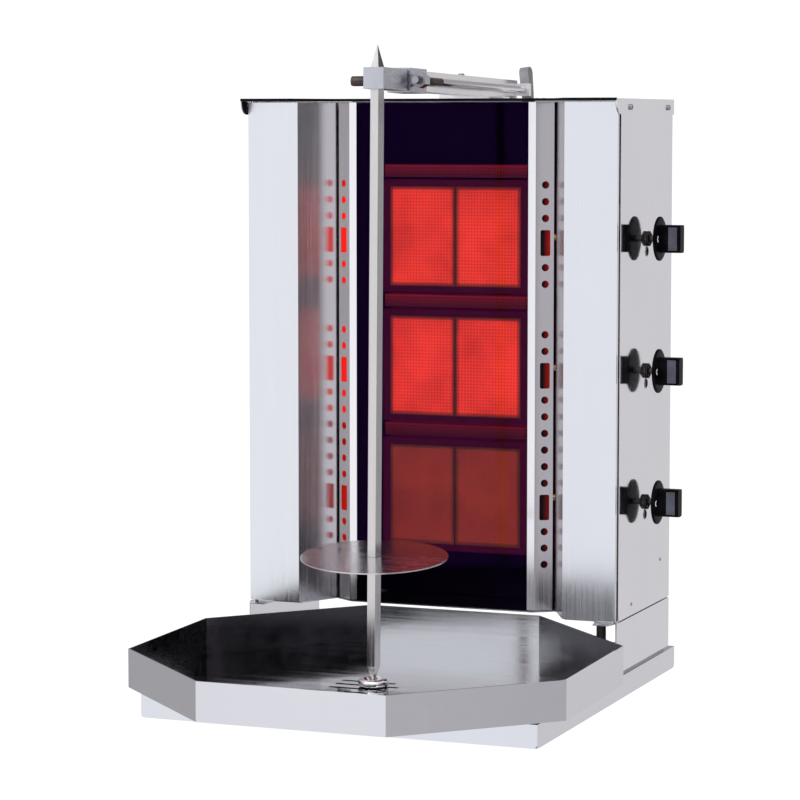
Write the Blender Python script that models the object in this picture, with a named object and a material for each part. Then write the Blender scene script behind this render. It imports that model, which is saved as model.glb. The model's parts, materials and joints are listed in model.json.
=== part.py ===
"""Vertical rotisserie broiler (gyros grill), table-top, three gas burners.

Frame: metres, +Z up, -Y is the operator's side, +X is the side with the gas knobs.
The origin is the centre of the base's underside. The spit and the top arm lean back
together by SPIT_LEAN, so their pieces hang from one empty at the foot of the spit.
"""
import math

import bmesh
import bpy
from mathutils import Matrix, Vector

# ---------------------------------------------------------------- driving dimensions
GAP = 0.0003                      # clearance between touching pieces
SHEET = 0.0015                    # stainless sheet
THIN = 0.0012                     # thinner sheet of the vent strips and brackets

BASE_W, BASE_D, BASE_H = 0.520, 0.575, 0.029
BASE_CORNER = 0.006               # rounded lower corners of the base flanges

HOUSING_X = 0.2570                # outer face of a side panel
HOUSING_BACK = 0.2690             # outer face of the back panel
HOUSING_BOTTOM = 0.0990           # underside of the floor plate
PANEL_BOTTOM = 0.1006             # lower edge of the side panels
HOUSING_TOP = 0.7673              # upper face of the cover
PANEL_FRONT = 0.0420              # front edge of a side panel

LEG_FRONT = 0.0330
LEG_TOP = 0.0985
LEG_SLIT = 0.0325                 # lower edge of a leg's side, a slit above the base
LEG_FLANGE = 0.0150

COVER_X = 0.2588
COVER_FRONT = 0.0150
COVER_NICHE_Y = 0.0830
COVER_FLANGE = 0.0202
COVER_CORNER = 0.0180
COVER_SCREWS_Y = (0.0725, 0.2412)
COVER_SCREW_Z = 0.7565

SHIELD_OUTER = 0.2549             # side shields: front face, then a splayed inner face
SHIELD_INNER = 0.1842
SHIELD_FRONT = 0.0320
SHIELD_EDGE = (0.1531, 0.0944)    # rear edge of the splayed face
SHIELD_BOTTOM, SHIELD_TOP = 0.1012, 0.7630
SHIELD_CAP = 0.0150               # depth of the top and bottom returns
SHIELD_RETURN = 0.0065            # side return at the outer edge
SHIELD_HINGE = (0.2505, 0.0365)
HINGE_PIN_R = 0.0020

STRIP_IN = (0.1200, 0.0788)       # vent strip, front face in plan: glass lip, fold, edge
STRIP_FOLD = (0.1300, 0.0788)
STRIP_OUT = (0.1506, 0.0923)
STRIP_BOTTOM, STRIP_TOP = 0.1014, 0.7632
VENT_PLACE = 0.54                 # holes sit this far across the slanted face
VENT_HOLE_R = 0.0049
VENT_SLOT_H, VENT_SLOT_R = 0.0335, 0.0066
VENT_PITCH = 0.0216
VENT_SLOT_STEP = 0.0318           # slot centre to the nearest hole
VENT_SLOT_DROP = 0.0050           # a slot sits this far under its burner's centre

BURNER_Z = (0.2420, 0.4143, 0.5866)
BURNER_FACE = 0.1215
BURNER_X = 0.0030                  # the burners stand a little towards the valves
TILE_W, TILE_H, TILE_T = 0.0915, 0.1320, 0.0120
BURNER_BOX = (0.1020, 0.0745, 0.0485)   # half width, half height, depth

GLASS_X, GLASS_FRONT, GLASS_T = 0.1265, 0.0804, 0.0040
GLASS_BOTTOM, GLASS_TOP = 0.1010, 0.7650

KNOB_Y = 0.1550
SKIRT_R, SKIRT_X = 0.0288, 0.2723
GRIP = (0.0084, 0.0180, 0.0030)     # half thickness, half height, corner radius
GRIP_END = 0.3047
STEM_R = 0.0040
VALVE_HALF_H = 0.0120
PORT_R, PORT_DROP = 0.0055, 0.0165

TRAY_HALF_W, TRAY_FRONT, TRAY_BACK = 0.2885, -0.4220, 0.1294
TRAY_END = 0.1210                 # half length of the front and back edges
TRAY_SIDE = (-0.2652, -0.0380)    # ends of the side edges
TRAY_SLOPE = 0.0150               # the tray falls towards the front
TRAY_BOTTOM, TRAY_TOP = 0.0337, 0.0827   # at TRAY_LEVEL_Y
TRAY_LEVEL_Y = -0.1500
TRAY_SHEET = 0.0012
DRAIN_ROWS = ((-0.051, 0.021), (-0.051, 0.021), (-0.051, 0.021), (-0.022, 0.010))   # slot ends

HUB_Y = -0.1596                   # drive axis
PULLEY_R, PULLEY_Z = 0.0180, (0.0065, 0.0145)
MOTOR_Y = 0.0300
SHAFT_R = 0.0060
CUP_BOTTOM = 0.0357                # clears the tray's floor by a gap
MOTOR_BOTTOM = 0.0160
UNDER_BASE = 0.0272                # what hangs under the base plate stops here
BRACKET_X, BRACKET_HALF_D, BRACKET_Z = 0.0845, 0.0160, 0.0149

SPIT_FOOT_Z = 0.0389              # the spit's lower point
SPIT_LEAN = math.radians(1.1)
SPIT_TURN = math.radians(-14.7)   # the square bar's resting turn
SPIT_A = 0.0120
SPIT_BAR_TOP, SPIT_TIP = 0.7660, 0.7945
SPIT_POINT = 0.0210
DISC_Z, DISC_R, DISC_T = 0.1587, 0.0925, 0.0016
DISC_TILT, DISC_TILT_TO = math.radians(5.9), math.radians(12.0)

ARM_Z = 0.7524                    # the rest is in the leaning frame of the spit
HEAD_HALF, HEAD_BACK = 0.0133, 0.0656
TUBE_HALF, TUBE_WALL = 0.0129, 0.0020
TUBE_Y = (0.1090, 0.4860)
BAR_HALF, BAR_END = 0.0100, 0.2600
COLLAR_HALF, COLLAR_Y = 0.0155, (0.0716, 0.1293)
SPINDLE_X, SPINDLE_R = 0.0250, 0.0046
NUT_Y, NUT_AF = (0.0770, 0.0940), 0.0170
HANDLE_TURN = math.radians(-7.5)   # the handle's resting turn
BUSH_BORE, BUSH_R, HEAD_BORE = 0.0089, 0.0110, 0.0116

# ---------------------------------------------------------------- materials
COLOURS = {
    "stainless": ((0.72, 0.72, 0.74), 0.28, 1.0),
    "tray_steel": ((0.60, 0.60, 0.63), 0.32, 1.0),
    "glass_ceramic": ((0.015, 0.008, 0.03), 0.05, 0.0),
    "ceramic": ((0.95, 0.12, 0.05), 0.90, 0.0),
    "black_plastic": ((0.02, 0.02, 0.02), 0.35, 0.0),
    "brass": ((0.72, 0.55, 0.25), 0.30, 1.0),
    "dark_steel": ((0.16, 0.14, 0.13), 0.45, 1.0),
    "zinc_steel": ((0.55, 0.56, 0.58), 0.40, 1.0),
    "bronze": ((0.55, 0.38, 0.20), 0.35, 1.0),
    "rubber": ((0.02, 0.02, 0.02), 0.80, 0.0),
    "polished_steel": ((0.80, 0.80, 0.82), 0.10, 1.0),
}


def material(name):
    """Return the named Principled material, made on first use."""
    found = bpy.data.materials.get(name)
    if found:
        return found
    colour, roughness, metallic = COLOURS[name]
    made = bpy.data.materials.new(name)
    made.use_nodes = True
    shader = made.node_tree.nodes["Principled BSDF"]
    shader.inputs["Base Color"].default_value = (*colour, 1.0)
    shader.inputs["Roughness"].default_value = roughness
    shader.inputs["Metallic"].default_value = metallic
    return made


# ---------------------------------------------------------------- modelling helpers
def make_object(name, mesh, material_name):
    """Link a mesh as an object with its material."""
    mesh.materials.clear()
    mesh.materials.append(material(material_name))
    obj = bpy.data.objects.new(name, mesh)
    bpy.context.scene.collection.objects.link(obj)
    return obj


def from_bmesh(name, bm, material_name):
    """Turn a finished bmesh into an object."""
    bmesh.ops.recalc_face_normals(bm, faces=bm.faces)
    mesh = bpy.data.meshes.new(name)
    bm.to_mesh(mesh)
    bm.free()
    return make_object(name, mesh, material_name)


def box(name, low, high, material_name="stainless"):
    """A box between two corners."""
    low, high = Vector(low), Vector(high)
    bm = bmesh.new()
    bmesh.ops.create_cube(bm, size=1.0)
    size = high - low
    centre = (high + low) / 2
    for vert in bm.verts:
        vert.co = Vector((vert.co.x * size.x, vert.co.y * size.y, vert.co.z * size.z)) + centre
    return from_bmesh(name, bm, material_name)


AXES = {
    "z": lambda u, v, w: (u, v, w),
    "x": lambda u, v, w: (w, u, v),
    "y": lambda u, v, w: (u, w, v),
}


def prism(name, outline, start, end, axis="z", material_name="stainless"):
    """Extrude an outline (plan XY for z, YZ for x, XZ for y) from start to end."""
    place = AXES[axis]
    bm = bmesh.new()
    base = bm.faces.new([bm.verts.new(place(u, v, start)) for u, v in outline])
    moved = bmesh.ops.extrude_face_region(bm, geom=[base])["geom"]
    shift = Vector(place(0.0, 0.0, end - start))
    bmesh.ops.translate(bm, vec=shift, verts=[g for g in moved if isinstance(g, bmesh.types.BMVert)])
    return from_bmesh(name, bm, material_name)


def circle(centre, radius, steps=24, start=0.0):
    """Points of a circle in its own plane."""
    angles = [start + 2 * math.pi * i / steps for i in range(steps)]
    return [(centre[0] + radius * math.cos(a), centre[1] + radius * math.sin(a)) for a in angles]


def arc(centre, radius, first, last, steps):
    """Points of an arc, both ends included, angles in degrees."""
    angles = [math.radians(first + (last - first) * i / steps) for i in range(steps + 1)]
    return [(centre[0] + radius * math.cos(a), centre[1] + radius * math.sin(a)) for a in angles]


def rod(name, centre, radius, start, end, axis="z", steps=24, material_name="stainless"):
    """A round bar; centre is in the plane across its axis."""
    obj = prism(name, circle(centre, radius, steps), start, end, axis, material_name)
    return smooth(obj)


def lathe(name, profile, material_name, steps=32):
    """Turn a closed (radius, height) profile about Z."""
    bm = bmesh.new()
    verts = [bm.verts.new((r, 0.0, z)) for r, z in profile]
    edges = [bm.edges.new((a, b)) for a, b in zip(verts, verts[1:])]
    bmesh.ops.spin(bm, geom=verts + edges, axis=(0, 0, 1), cent=(0, 0, 0), steps=steps,
                   angle=2 * math.pi, use_duplicate=False)
    bmesh.ops.remove_doubles(bm, verts=bm.verts, dist=1e-6)
    return smooth(from_bmesh(name, bm, material_name))


def smooth(obj, angle=35.0):
    """Shade round pieces smooth and keep their edges sharp."""
    obj.data.shade_smooth()
    obj.data.set_sharp_from_angle(angle=math.radians(angle))
    return obj


def boolean(target, tool, operation):
    """Apply one exact Boolean and remove the tool."""
    modifier = target.modifiers.new("Boolean", "BOOLEAN")
    modifier.operation = operation
    modifier.object = tool
    modifier.solver = "EXACT"
    depsgraph = bpy.context.evaluated_depsgraph_get()
    result = bpy.data.meshes.new_from_object(target.evaluated_get(depsgraph))
    target.modifiers.remove(modifier)
    old = target.data
    target.data = result
    bpy.data.meshes.remove(old)
    bpy.data.objects.remove(tool)
    return target


def cut(target, *tools):
    """Take each tool away from the target."""
    for tool in tools:
        boolean(target, tool, "DIFFERENCE")
    return target


def weld(target, *pieces):
    """Join each piece to the target as one solid."""
    for piece in pieces:
        boolean(target, piece, "UNION")
    return target


def mirrored(points):
    """The plan outline's other half, so that a right half makes the whole."""
    return points + [(-x, y) for x, y in reversed(points)]


def tidy(obj, distance=1e-5):
    """Merge doubles that a Boolean left behind."""
    bm = bmesh.new()
    bm.from_mesh(obj.data)
    bmesh.ops.remove_doubles(bm, verts=bm.verts, dist=distance)
    bmesh.ops.dissolve_degenerate(bm, edges=bm.edges, dist=distance)
    bm.to_mesh(obj.data)
    bm.free()
    return obj


def seat(obj, point):
    """Put an object's origin on its joint's axis; its shape stays where it is."""
    obj.data.transform(Matrix.Translation(obj.location - Vector(point)))
    obj.location = point
    return obj


# ---------------------------------------------------------------- base and drive
def flange(name, half_length, plane, axis):
    """One down-turned flange of the base, with rounded lower corners."""
    r = BASE_CORNER
    outline = [(half_length, BASE_H)]
    outline += [(-half_length, BASE_H)]
    outline += arc((-half_length + r, r), r, 180, 270, 5)
    outline += arc((half_length - r, r), r, 270, 360, 5)
    start = plane if plane < 0 else plane - SHEET
    return prism(name, outline, start, start + SHEET, axis)


def build_base():
    """Inverted base pan, its bottom cover and the grease pan that hangs in it."""
    half_w, half_d = BASE_W / 2, BASE_D / 2
    pan = box("base_pan", (-half_w, -half_d, BASE_H - SHEET), (half_w, half_d, BASE_H))
    for side in (-1, 1):
        weld(pan, flange("front_flange", half_w, side * half_d, "y"))
        weld(pan, flange("side_flange", half_d, side * half_w, "x"))
    low_x, high_x, low_y, high_y = -0.0750, 0.0650, HUB_Y - 0.0550, HUB_Y + 0.0550
    room = 0.0005
    cut(pan, box("pan_window", (low_x - room, low_y - room, BASE_H - 0.004),
                 (high_x + room, high_y + room, BASE_H + 0.001)))
    tidy(pan)

    inset = SHEET + GAP
    box("base_bottom_cover", (-half_w + inset, -half_d + inset, 0.0),
        (half_w - inset, half_d - inset, SHEET), "zinc_steel")

    wall, rim = 0.0010, 0.0070
    rim_low, rim_high = BASE_H + GAP, BASE_H + GAP + 0.0010
    pan_floor = 0.0165
    grease = box("grease_pan", (low_x, low_y, pan_floor), (high_x, high_y, rim_high))
    weld(grease, box("pan_rim", (low_x - rim, low_y - rim, rim_low),
                     (high_x + rim, high_y + rim, rim_high)))
    cut(grease, box("pan_hollow", (low_x + wall, low_y + wall, pan_floor + wall),
                    (high_x - wall, high_y - wall, rim_high + 0.001)))
    weld(grease, rod("pan_sleeve", (0.0, HUB_Y), 0.0109, pan_floor + wall / 2, rim_high))
    cut(grease, rod("pan_bore", (0.0, HUB_Y), 0.0099, 0.010, 0.040))
    tidy(grease)


def build_drive():
    """Flat gear motor, belt, bearing, shaft and the cup that turns the spit."""
    low, high = PULLEY_Z
    shaft = rod("drive_shaft", (0.0, HUB_Y), SHAFT_R, 0.0040, CUP_BOTTOM - GAP, material_name="zinc_steel")
    weld(shaft, rod("drive_pulley", (0.0, HUB_Y), PULLEY_R, low, high))
    seat(smooth(shaft), (0.0, HUB_Y, low))

    pulley = rod("motor_pulley", (0.0, MOTOR_Y), PULLEY_R, low, high, material_name="zinc_steel")
    weld(pulley, rod("pulley_boss", (0.0, MOTOR_Y), 0.0050, high - 0.001, MOTOR_BOTTOM - GAP))
    seat(smooth(pulley), (0.0, MOTOR_Y, low))

    def loop(radius):
        return (arc((0.0, MOTOR_Y), radius, 0, 180, 16) + arc((0.0, HUB_Y), radius, 180, 360, 16))

    belt = prism("drive_belt", loop(PULLEY_R + GAP + 0.0016), 0.0075, 0.0135, "z", "rubber")
    cut(belt, prism("belt_inside", loop(PULLEY_R + GAP), 0.005, 0.016))
    smooth(belt)

    motor = box("drive_motor", (-0.035, 0.0, MOTOR_BOTTOM), (0.035, 0.075, UNDER_BASE), "zinc_steel")
    can = box("motor_can", (-0.045, 0.070, 0.0040), (0.045, 0.160, UNDER_BASE))
    weld(motor, can)
    tidy(motor)

    front, rear = HUB_Y - BRACKET_HALF_D, HUB_Y + BRACKET_HALF_D
    inner, outer, toe = BRACKET_X - THIN, BRACKET_X, BRACKET_X + 0.0155
    bracket = box("bearing_bracket", (-outer, front, BRACKET_Z),
                  (outer, rear, BRACKET_Z + THIN), "zinc_steel")
    for side in (-1, 1):
        post = sorted((side * inner, side * outer))
        foot = sorted((side * inner, side * toe))
        weld(bracket, box("post", (post[0], front, BRACKET_Z + THIN / 2), (post[1], rear, UNDER_BASE)))
        weld(bracket, box("foot", (foot[0], front, UNDER_BASE - THIN), (foot[1], rear, UNDER_BASE)))
    cut(bracket, rod("bracket_bore", (0.0, HUB_Y), SHAFT_R + 2 * GAP, 0.010, 0.020))
    tidy(bracket)

    bearing = rod("drive_bearing", (0.0, HUB_Y), 0.0095, BRACKET_Z + THIN + GAP, 0.0330,
                  material_name="bronze")
    cut(bearing, rod("bearing_bore", (0.0, HUB_Y), SHAFT_R + GAP, 0.010, 0.040))
    smooth(bearing)

    profile = [(0.0, CUP_BOTTOM), (0.0150, CUP_BOTTOM)]
    profile += arc((0.0143, 0.0395), 0.0050, -46, 115, 9)
    profile += [(0.0080, 0.0405), (0.0045, 0.0376), (0.0, 0.0374)]
    cup = lathe("drive_cup", profile, "polished_steel", 36)
    cup.location = (0.0, HUB_Y, 0.0)


def inset(outline, distance):
    """Move every side of a counter-clockwise convex outline inwards."""
    points = [Vector(point) for point in outline]
    moved = []
    for before, here, after in zip([points[-1]] + points[:-1], points, points[1:] + points[:1]):
        first, second = (here - before).normalized(), (after - here).normalized()
        inward = Vector((-first.y, first.x)) + Vector((-second.y, second.x))
        moved.append(here + inward * (distance / (1.0 + first.dot(second))))
    return [(point.x, point.y) for point in moved]


def build_tray():
    """Eight-sided drip tray with drain slots round the drive cup, sloping to the front."""
    front, back = TRAY_SIDE
    outline = [(TRAY_END, TRAY_FRONT), (TRAY_HALF_W, front), (TRAY_HALF_W, back), (TRAY_END, TRAY_BACK),
               (-TRAY_END, TRAY_BACK), (-TRAY_HALF_W, back), (-TRAY_HALF_W, front), (-TRAY_END, TRAY_FRONT)]
    tray = prism("drip_tray", outline, TRAY_BOTTOM, TRAY_TOP, "z", "tray_steel")
    cut(tray, prism("tray_inside", inset(outline, SHEET), TRAY_BOTTOM + TRAY_SHEET, TRAY_TOP + 0.01))
    cut(tray, rod("tray_bore", (0.0, HUB_Y), 0.0120, 0.02, 0.05, steps=20))
    low, high, slot = 0.02, 0.05, 0.0034
    clear = 0.0155
    for row, (left, right) in enumerate(DRAIN_ROWS):
        y = HUB_Y + 0.0216 * (1 - row)
        spans = [(left, right)]
        if abs(y - HUB_Y) < clear:
            spans = [(left, -clear), (clear, right + 0.012)]
        for a, b in spans:
            cut(tray, box("drain_slot", (a, y - slot, low), (b, y + slot, high)))
    tidy(tray)
    for vert in tray.data.vertices:
        vert.co.z += TRAY_SLOPE * (vert.co.y - TRAY_LEVEL_Y)


# ---------------------------------------------------------------- legs and housing
def build_legs():
    """Two side legs that carry the housing above the base."""
    for side, name in ((-1, "left_leg"), (1, "right_leg")):
        def span(a, b):
            return sorted((side * a, side * b))
        inner = HOUSING_X - SHEET
        x = span(inner, HOUSING_X)
        leg = box(name, (x[0], LEG_FRONT, LEG_SLIT), (x[1], HOUSING_BACK, LEG_TOP))
        x = span(inner - LEG_FLANGE, HOUSING_X - SHEET / 2)
        weld(leg, box("flange_low", (x[0], LEG_FRONT, LEG_SLIT), (x[1], HOUSING_BACK, LEG_SLIT + SHEET)))
        weld(leg, box("flange_top", (x[0], LEG_FRONT + 0.0220, LEG_TOP - SHEET),
                      (x[1], HOUSING_BACK, LEG_TOP)))
        x = span(0.2430, 0.2520)
        weld(leg, box("foot_bar", (x[0], LEG_FRONT + 0.006, BASE_H + GAP),
                      (x[1], HOUSING_BACK - 0.006, LEG_SLIT + SHEET / 2)))
        tidy(leg)


def build_conduit():
    """Black conduit that takes the motor's wires from the housing down into the base."""
    x, y = 0.2300, 0.0540
    bottom, top, radius = BASE_H + GAP, HOUSING_BOTTOM - GAP, 0.0062
    pipe = rod("motor_conduit", (x, y), radius, bottom, top, material_name="rubber")
    for low, high in ((bottom, bottom + 0.007), (top - 0.006, top)):
        weld(pipe, prism("gland", circle((x, y), 0.0095, 6), low, high))
    smooth(pipe)


def build_housing():
    """Floor, back, side panels and the top cover with its side flanges."""
    inner = HOUSING_X - SHEET - GAP
    back = HOUSING_BACK - SHEET
    half = [(inner, back - GAP), (inner, 0.0400), (0.1845, 0.0400), (0.1555, 0.0955),
            (0.1475, 0.0895), (0.1280, 0.0765)]
    prism("housing_floor", mirrored(half), HOUSING_BOTTOM, HOUSING_BOTTOM + SHEET)

    panel = box("housing_back", (-inner, back, HOUSING_BOTTOM),
                (inner, HOUSING_BACK, HOUSING_TOP - SHEET - GAP))
    for row in range(6):
        z = 0.640 + 0.014 * row
        for x in (-0.1300, 0.0, 0.1300):
            cut(panel, box("vent", (x - 0.045, back - 0.01, z), (x + 0.045, back + 0.01, z + 0.005)))
    cut(panel, rod("inlet_hole", (0.2150, 0.1500), 0.0100, back - 0.01, back + 0.01, "y"))
    tidy(panel)

    for side, name in ((-1, "left_side_panel"), (1, "right_side_panel")):
        x = sorted((side * (HOUSING_X - SHEET), side * HOUSING_X))
        panel = box(name, (x[0], PANEL_FRONT, PANEL_BOTTOM),
                    (x[1], HOUSING_BACK, HOUSING_TOP - SHEET - GAP))
        ends = sorted((side * 0.24, side * 0.27))
        for y in COVER_SCREWS_Y:
            cut(panel, rod("screw_hole", (y, COVER_SCREW_Z), 0.0023, *ends, "x", 12))
        if side > 0:
            for z in BURNER_Z:
                cut(panel, rod("valve_hole", (KNOB_Y, z), 0.0084, *ends, "x"))
                cut(panel, rod("port", (KNOB_Y, z - PORT_DROP), PORT_R, *ends, "x"))
        tidy(panel)


def build_cover():
    """Top cover: plate with the niche cut in its front, flanges and shield pins."""
    plate_low = HOUSING_TOP - SHEET
    half = [(COVER_X, HOUSING_BACK + 0.001), (COVER_X, COVER_FRONT), (0.1885, COVER_FRONT),
            (0.1525, COVER_NICHE_Y)]
    cover = prism("top_cover", mirrored(half), plate_low, HOUSING_TOP)
    low = HOUSING_TOP - COVER_FLANGE
    r = COVER_CORNER
    outline = [(HOUSING_BACK + 0.001, HOUSING_TOP - 0.0004), (COVER_FRONT, HOUSING_TOP - 0.0004)]
    outline += arc((COVER_FRONT + r, low + r), r, 180, 270, 8)
    outline += [(HOUSING_BACK + 0.001, low)]
    for side in (-1, 1):
        x = sorted((side * (COVER_X - SHEET), side * COVER_X))
        weld(cover, prism("side_flange", outline, x[0], x[1], "x"))
        ends = sorted((side * 0.24, side * 0.27))
        for y in COVER_SCREWS_Y:
            cut(cover, rod("screw_hole", (y, COVER_SCREW_Z), 0.0023, *ends, "x", 12))
        pin = (side * SHIELD_HINGE[0], SHIELD_HINGE[1])
        weld(cover, rod("pin", pin, HINGE_PIN_R, HOUSING_TOP - 0.0100, HOUSING_TOP - SHEET / 2, steps=12))
    tidy(cover)


def build_screws():
    """Four pan-head screws through the cover's flanges."""
    number = 0
    for side in (-1, 1):
        for y in COVER_SCREWS_Y:
            number += 1
            face = COVER_X + GAP
            shank = sorted((side * (face - 0.0065), side * (face + 0.001)))
            head = sorted((side * face, side * (face + 0.0022)))
            screw = rod(f"cover_screw_{number}", (y, COVER_SCREW_Z), 0.0020, *shank, "x", 12, "dark_steel")
            weld(screw, rod("head", (y, COVER_SCREW_Z), 0.0036, *head, "x", 16))
            smooth(screw)


# ---------------------------------------------------------------- shields and vent strips
def build_shields():
    """Side shields that swing on pins, with the lug that carries each lower pin."""
    for side, word in ((-1, "left"), (1, "right")):
        def at(x, y):
            return (side * x, y)

        t = SHEET
        ox, ix, fy = SHIELD_OUTER, SHIELD_INNER, SHIELD_FRONT
        ex, ey = SHIELD_EDGE
        slope = Vector((ex - ix, ey - fy)).normalized()
        back = Vector((slope.y, -slope.x)) * t      # towards the hollow side of the fold
        inside = (ix + back.x - slope.x * 0.0005, fy + t)
        outline = [at(ox, fy), at(ix, fy), at(ex, ey), at(ex + back.x, ey + back.y), at(*inside),
                   at(ox - t, fy + t), at(ox - t, fy + SHIELD_RETURN), at(ox, fy + SHIELD_RETURN)]
        shield = prism(f"{word}_shield", outline, SHIELD_BOTTOM, SHIELD_TOP)
        deep = fy + SHIELD_CAP
        cap = [at(ox - t / 2, fy + t / 2), at(ix + t, fy + t / 2),
               at(ix - 0.0050, deep), at(ox - t / 2, deep)]
        for low in (SHIELD_BOTTOM, SHIELD_TOP - t):
            weld(shield, prism("cap", cap, low, low + t))
        hinge = at(*SHIELD_HINGE)
        for low in (SHIELD_BOTTOM, SHIELD_TOP):
            cut(shield, rod("pin_hole", hinge, HINGE_PIN_R + GAP, low - 0.006, low + 0.006, steps=16))
        seat(tidy(shield), (*hinge, SHIELD_BOTTOM))

        low = HOUSING_BOTTOM - GAP - SHEET
        plate = [at(0.2545, 0.0430), at(0.2260, 0.0430), at(0.2290, 0.0200), at(0.2500, 0.0200)]
        lug = prism(f"{word}_shield_lug", plate, low, low + SHEET)
        weld(lug, rod("pin", hinge, HINGE_PIN_R, low + SHEET / 2, SHIELD_BOTTOM + 0.0050, steps=12))
        smooth(lug)


def build_vent_strips():
    """Folded strips that clamp the glass, with rows of holes and slots."""
    fold = Vector(STRIP_OUT) - Vector(STRIP_FOLD)
    along = fold.normalized()
    normal = Vector((along.y, -along.x))             # out of the slanted face, to the front
    middle = Vector(STRIP_FOLD) + fold * VENT_PLACE
    half_bend = math.tan(math.atan2(along.y, along.x) / 2) * THIN

    slots = [z - VENT_SLOT_DROP for z in BURNER_Z]
    holes = [slots[2] + VENT_SLOT_STEP + VENT_PITCH * i for i in range(3)]
    holes += [slots[2] - VENT_SLOT_STEP - VENT_PITCH * i for i in range(2)]
    holes += [slots[1] + VENT_SLOT_STEP + VENT_PITCH * i for i in range(2)]
    between = slots[1] - slots[0] - 2 * VENT_SLOT_STEP
    holes += [slots[0] + VENT_SLOT_STEP + between * i / 5 for i in range(6)]
    holes += [slots[0] - VENT_SLOT_STEP - VENT_PITCH * i for i in range(3)]

    for side, name in ((-1, "left_vent_strip"), (1, "right_vent_strip")):
        def at(point):
            return (side * point[0], point[1])

        outline = [at(STRIP_IN), at(STRIP_FOLD), at(STRIP_OUT),
                   at(Vector(STRIP_OUT) - normal * THIN),
                   at((STRIP_FOLD[0] - half_bend, STRIP_FOLD[1] + THIN)),
                   at((STRIP_IN[0], STRIP_IN[1] + THIN))]
        strip = prism(name, outline, STRIP_BOTTOM, STRIP_TOP)
        turn = math.atan2(side * normal.x, -normal.y)
        pose = Matrix.Translation((side * middle.x, middle.y, 0.0)) @ Matrix.Rotation(turn, 4, "Z")
        for z in holes:
            tool = rod("hole", (0.0, z), VENT_HOLE_R, -0.004, 0.004, "y", 14)
            tool.data.transform(pose)
            cut(strip, tool)
        r = VENT_SLOT_R
        corner = 0.0022
        for z in slots:
            half = VENT_SLOT_H / 2
            outline = []
            for cx, cz, first in ((1, 1, 0), (-1, 1, 90), (-1, -1, 180), (1, -1, 270)):
                centre = (cx * (r - corner), z + cz * (half - corner))
                outline += arc(centre, corner, first, first + 90, 3)
            tool = prism("slot", outline, -0.004, 0.004, "y")
            tool.data.transform(pose)
            cut(strip, tool)
        tidy(strip)


# ---------------------------------------------------------------- burners and gas
def build_burners():
    """Glass pane, three burner boxes and two ceramic plates in each."""
    box("glass_pane", (-GLASS_X, GLASS_FRONT, GLASS_BOTTOM),
        (GLASS_X, GLASS_FRONT + GLASS_T, GLASS_TOP), "glass_ceramic")
    half_w, half_h, depth = BURNER_BOX
    for number, z in enumerate(reversed(BURNER_Z), start=1):
        case = box(f"burner_box_{number}", (BURNER_X - half_w, BURNER_FACE, z - half_h),
                   (BURNER_X + half_w, BURNER_FACE + depth, z + half_h), "zinc_steel")
        room_w, room_h = TILE_W + 0.0012, TILE_H / 2 + 0.0006
        cut(case, box("pocket", (BURNER_X - room_w, BURNER_FACE - 0.01, z - room_h),
                      (BURNER_X + room_w, BURNER_FACE + depth - 0.012, z + room_h)))
        tidy(case)
        for side, word in ((-1, "left"), (1, "right")):
            x = sorted((BURNER_X + side * 0.0006, BURNER_X + side * (0.0006 + TILE_W)))
            box(f"ceramic_plate_{word}_{number}", (x[0], BURNER_FACE + 0.0008, z - TILE_H / 2),
                (x[1], BURNER_FACE + 0.0008 + TILE_T, z + TILE_H / 2), "ceramic")


def build_gas():
    """Manifold with its inlet, three valves, their stems and knobs."""
    pipe_x, pipe_y, pipe_r = 0.2150, 0.1855, 0.0080
    manifold = rod("gas_manifold", (pipe_x, pipe_y), pipe_r, 0.1300, 0.6300, material_name="brass")
    weld(manifold, rod("inlet", (pipe_x, 0.1500), 0.0075, pipe_y, 0.3000, "y"))
    smooth(manifold)

    for number, z in enumerate(reversed(BURNER_Z), start=1):
        valve = box(f"gas_valve_{number}", (0.1980, 0.1430, z - VALVE_HALF_H),
                    (0.2500, 0.1770, z + VALVE_HALF_H), "brass")
        weld(valve, rod("nose", (KNOB_Y, z), 0.0080, 0.2450, 0.2605, "x"))
        weld(valve, rod("feed", (KNOB_Y, z), 0.0050, BURNER_X + BURNER_BOX[0] + GAP, 0.2000, "x"))
        cut(valve, rod("stem_bore", (KNOB_Y, z), STEM_R + 0.0004, 0.2490, 0.2700, "x"))
        smooth(valve)

        stem = rod(f"valve_stem_{number}", (KNOB_Y, z), STEM_R, 0.2530, SKIRT_X - GAP, "x", 16, "dark_steel")
        seat(stem, (0.2530, KNOB_Y, z))

        profile = [(0.0, 0.0), (0.0110, 0.0), (0.0255, 0.0004), (SKIRT_R, 0.0010), (SKIRT_R, 0.0028),
                   (0.0270, 0.0038), (0.0130, 0.0050), (0.0, 0.0052)]
        knob = lathe(f"knob_{number}", profile, "black_plastic", 40)
        knob.data.transform(Matrix.Rotation(math.radians(90), 4, "Y"))
        knob.data.transform(Matrix.Translation((SKIRT_X, KNOB_Y, z)))
        half_t, half_h, r = GRIP
        outline = []
        for cy, cz, first in ((1, 1, 0), (-1, 1, 90), (-1, -1, 180), (1, -1, 270)):
            centre = (KNOB_Y + cy * (half_t - r), z + cz * (half_h - r))
            outline += arc(centre, r, first, first + 90, 3)
        weld(knob, prism("grip", outline, SKIRT_X + 0.0030, GRIP_END, "x"))
        seat(smooth(tidy(knob)), (SKIRT_X, KNOB_Y, z))


# ---------------------------------------------------------------- spit and top arm
def spit_frame():
    """The empty at the spit's lower point, leaning with the spit."""
    empty = bpy.data.objects.new("spit_line", None)
    bpy.context.scene.collection.objects.link(empty)
    empty.location = (0.0, HUB_Y, SPIT_FOOT_Z)
    empty.rotation_euler = (-SPIT_LEAN, 0.0, 0.0)
    return empty


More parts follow.
